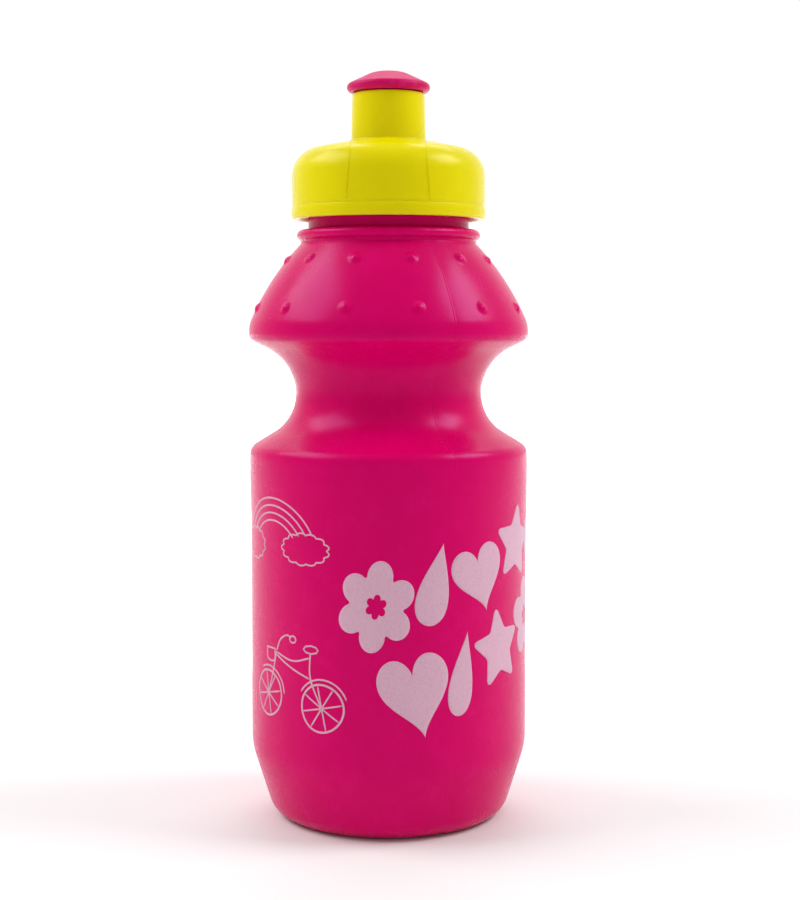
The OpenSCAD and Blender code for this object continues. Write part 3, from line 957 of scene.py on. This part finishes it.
# %% Bicycle
def wheel(centre, radius):
    """Rim, hub and eight spokes."""
    spokes = [
        stroke(line(centre, np.add(centre, (radius * math.cos(a), radius * math.sin(a))), 6), 0.34)
        for a in np.radians(np.arange(12, 372, 45))
    ]
    rim = stroke(ring_path(centre, radius, wobble=0.015)[:-1], 0.5, loop=True)
    return [rim, stroke(ring_path(centre, 0.5, steps=12)[:-1], 0.4, loop=True), *spokes]


def bicycle(at):
    """A town bicycle, facing left, by its crank: frame, mudguards, saddle, bars and a basket."""
    x, z = at
    rear, front = (x + 2.6, z - 6.3), (x - 14.6, z - 5.0)
    head, seat = (x - 11.2, z + 5.2), (x - 0.4, z + 6.0)
    lines = [
        drawn([rear, (x - 0.4, z + 0.2), seat]),
        drawn([front, (x - 12.6, z + 0.6), head]),
        drawn([(x - 0.6, z), (x - 6.2, z + 2.0), (x - 11.4, z + 4.4)]),
        drawn([(x - 0.5, z + 4.8), (x - 5.6, z + 3.6), (x - 11.2, z + 4.9)]),
        drawn([(x - 0.6, z), rear]),
        drawn([head, (x - 9.8, z + 7.9), (x - 7.6, z + 9.2), (x - 6.0, z + 8.8)]),
        ring_path(rear, 6.5, 20, 150, 24),
        ring_path(front, 6.3, 5, 120, 24),
        drawn([(x - 15.2, z + 5.6), (x - 15.0, z + 3.0), (x - 12.2, z + 2.8), (x - 11.8, z + 5.4)]),
        drawn([(x - 15.6, z + 5.6), (x - 11.5, z + 5.5)]),
    ]
    saddle = cloud((x - 0.2, z + 6.7), 2.0, 0.9, 1)
    grip = cloud((x - 5.5, z + 8.5), 1.0, 0.8, 1)
    loops = [stroke(saddle, 0.4, loop=True), stroke(grip, 0.4, loop=True)]
    return [stroke(path) for path in lines] + loops + wheel(rear, 5.4) + wheel(front, 5.2)


piece("print_bicycle", bicycle((-18.0, 37.4)), "bottle", ink_finish)

# %% [markdown]
# Beside the doodles stand two slanting rows of bold brushed shapes: stars, hearts, flowers and
# drops. Each could be drawn with Bezier handles. A formula is shorter and can't get lumps, and a
# short moving average rounds its corners, as a brush would.

# %% Curves of the motifs
def softened(curve, share=0.02):
    """A closed curve averaged over a short window, which rounds its corners."""
    span = max(1, int(len(curve) * share))
    return sum(np.roll(curve, k, axis=0) for k in range(-span, span + 1)) / (2 * span + 1)


def star(points=5, inner=0.5):
    """Straight edges from tip to notch: r = Ro Ri sin h / (Ro sin b + Ri sin(h - b))."""
    half = np.pi / points
    a = np.linspace(0, 2 * np.pi, points * 24, endpoint=False)
    b = np.abs((a + half) % (2 * half) - half)
    r = inner * np.sin(half) / (np.sin(b) + inner * np.sin(half - b))
    return softened(np.column_stack([r * np.sin(a), r * np.cos(a)]))


def heart():
    """x = 16 sin^3 t, y = 13 cos t - 5 cos 2t - 2 cos 3t - cos 4t, scaled to about 1."""
    t = np.linspace(0, 2 * np.pi, 120, endpoint=False)
    y = 13 * np.cos(t) - 5 * np.cos(2 * t) - 2 * np.cos(3 * t) - np.cos(4 * t)
    return softened(np.column_stack([16 * np.sin(t) ** 3, y]) / 16, 0.012)


def flower(petals=6):
    """Rounded petals: r = 0.62 + 0.38 |cos(petals a / 2)|^0.7."""
    a = np.linspace(0, 2 * np.pi, petals * 24, endpoint=False)
    r = 0.62 + 0.38 * np.abs(np.cos(petals * a / 2)) ** 0.7
    return softened(np.column_stack([r * np.sin(a), r * np.cos(a)]), 0.008)


def drop():
    """A drop, point up: x = 0.75 sin t sin^1.5(t / 2), y = cos t."""
    t = np.linspace(0, 2 * np.pi, 96, endpoint=False)
    x = 0.75 * np.sin(t) * np.abs(np.sin(t / 2)) ** 1.5
    return softened(np.column_stack([x, np.cos(t)]), 0.015)


print("half widths:", [round(float(np.abs(c()[:, 0]).max()), 2) for c in (star, heart, flower, drop)])

# %% [markdown]
# The shapes stand close, and each is turned and squashed a little differently, so that the rows
# look painted by hand. An Array modifier would make them all alike, so each gets a line of its own.

# %% Two rows of motifs
def placed(curve, at, size, turn=0.0, squash=1.0):
    """The curve scaled to a half-height of size, squashed in width, turned, and moved to (s, z)."""
    a = math.radians(turn)
    x, y = curve[:, 0] * size * squash, curve[:, 1] * size
    s, z = x * math.cos(a) - y * math.sin(a), x * math.sin(a) + y * math.cos(a)
    return np.column_stack([at[0] + s, at[1] + z])


def motif(curve, at, size, turn=0.0, squash=1.0, hole=0.0):
    return blot(placed(curve, at, size, turn, squash), at, hole)


upper_row = [
    motif(flower(), (-2.6, 54.6), 10.4, -8, 0.86, 0.27),
    motif(drop(), (10.8, 59.4), 9.4, -12, 0.78),
    motif(heart(), (22.4, 61.0), 8.4, 14, 0.88),
    motif(star(), (36.6, 66.6), 9.8, -6),
    motif(drop(), (47.8, 70.0), 8.0, -14, 0.85),
]
lower_row = [
    motif(heart(), (6.2, 35.8), 10.4, 12, 0.8),
    motif(drop(), (17.6, 38.8), 9.6, -8, 0.62),
    motif(star(), (29.0, 43.2), 10.2, 8, 0.9),
    motif(flower(5), (43.8, 48.6), 9.4, 4, 0.9, 0.27),
]
piece("print_motifs", upper_row + lower_row, "bottle", ink_finish)

# %% [markdown]
# A bare wall would look unfinished when the bottle is turned. A sun with rays, a small cloud and
# three little stars go round the back in the same pen, from the same few helpers.

# %% Doodles at the back
def sun(at, radius):
    """One ring, and twelve short strokes outside it."""
    ways = [radius * np.array([math.cos(a), math.sin(a)]) for a in np.radians(np.arange(0, 360, 30))]
    rays = [stroke(line(at + way * 1.35, at + way * 1.85, 5)) for way in ways]
    return [stroke(ring_path(at, radius, wobble=0.02)[:-1], 0.45, loop=True), *rays]


stars = [((-64.0, 44.0), 4.2, 10), ((-78.0, 38.0), 3.2, -15), ((-90.0, 45.0), 3.7, 5)]
back = [*sun((-88.0, 66.0), 5.2), stroke(cloud((-76.0, 60.0), 6.4, 3.4, 9), loop=True)]
back += [stroke(placed(star(), *each), 0.42, loop=True) for each in stars]
piece("print_back", back, "bottle", ink_finish)

# %% [markdown]
# The stage is a plain pale floor, as a product picture has. A curved backdrop would hide the
# horizon too, but a wide floor under a white surround does it with four corners.

# %% Floor
def floor():
    """A flat square 6 m across at height 0."""
    mesh = bpy.data.meshes.new("floor")
    mesh.from_pydata([(-3, -3, 0), (3, -3, 0), (3, 3, 0), (-3, 3, 0)], [], [(0, 1, 2, 3)])
    paper = Finish("pale_paper", Specular_IOR_Level=0.1)
    tone = paper.between(paper.noise(3.0, 2.0), (0.82, 0.82, 0.82), (0.86, 0.86, 0.86))
    mesh.materials.append(paper.set(Base_Color=tone, Roughness=paper.noise(5.0) * 0.1 + 0.8))
    made = bpy.data.objects.new("floor", mesh)
    bpy.context.collection.objects.link(made)


floor()
print("floor: 6 m wide")

# %% [markdown]
# Two soft lights stand high at the left and right, so the shoulder and the dome catch them and the
# front stays darker. One big light would flatten the round shapes. A third shines only on the
# background, with a narrow spread, so that it goes white without touching the bottle.

# %% Lights
def softbox(name, place, target, width, height, power, spread=180):
    light = bpy.data.lights.new(name, "AREA")
    light.shape, light.size, light.size_y, light.energy = "RECTANGLE", width, height, power
    light.spread = math.radians(spread)
    made = bpy.data.objects.new(name, light)
    bpy.context.collection.objects.link(made)
    aim = bpy.data.objects.new(name + "_aim", None)
    bpy.context.collection.objects.link(aim)
    aim.location = target
    made.location = place
    way = made.constraints.new("TRACK_TO")
    way.target, way.track_axis, way.up_axis = aim, "TRACK_NEGATIVE_Z", "UP_Y"


softbox("left_softbox", (-0.68, 0.02, 0.77), (0, 0, 0.11), 0.72, 0.46, 5.6)
softbox("right_softbox", (0.7, -0.04, 0.74), (0, 0, 0.11), 0.46, 0.4, 5.1)
softbox("background_softbox", (0, 1.9, 1.5), (0, 1.901, 0), 2.0, 2.0, 44.0, 100)
print("lights:", [light.name for light in bpy.data.lights])

# %% [markdown]
# The surround is what a shiny skin reflects. An even white one would wash out the bottle's front,
# so its strength follows the direction: bright behind the bottle, and less than half as bright on
# the camera's side.

# %% Surround
world = bpy.data.worlds.new("white_surround")
bpy.context.scene.world = world
world.use_nodes = True
surround = world.node_tree
way = surround.nodes.new("ShaderNodeTexCoord")
parts = surround.nodes.new("ShaderNodeSeparateXYZ")
strength = surround.nodes.new("ShaderNodeMapRange")
strength.interpolation_type = "SMOOTHSTEP"
for key, value in (("From Min", 0.4), ("From Max", 0.93), ("To Min", 0.43), ("To Max", 1.05)):
    strength.inputs[key].default_value = value
surround.links.new(way.outputs["Object"], parts.inputs[0])
surround.links.new(parts.outputs["Y"], strength.inputs["Value"])
surround.links.new(strength.outputs[0], surround.nodes["Background"].inputs["Strength"])
surround.nodes["Background"].inputs["Color"].default_value = (1, 1, 1, 1)
bpy.context.scene.view_settings.view_transform = "Standard"
print("surround:", world.name)

# %% [markdown]
# The camera stands 40 cm away at about the height of the shoulder, and looks a little down, as one
# does at a bottle on a table. A longer lens from further off would flatten the ovals of the cap.

# %% Camera
lens = bpy.data.cameras.new("camera")
lens.sensor_width, lens.lens = 36.0, 68.0
camera = bpy.data.objects.new("camera", lens)
bpy.context.collection.objects.link(camera)
camera.location = (0.0027, -0.4036, 0.1182)
camera.rotation_euler = (math.radians(90 - 4.44), 0, 0)
bpy.context.scene.camera = camera
print("camera: lens", lens.lens, "mm")
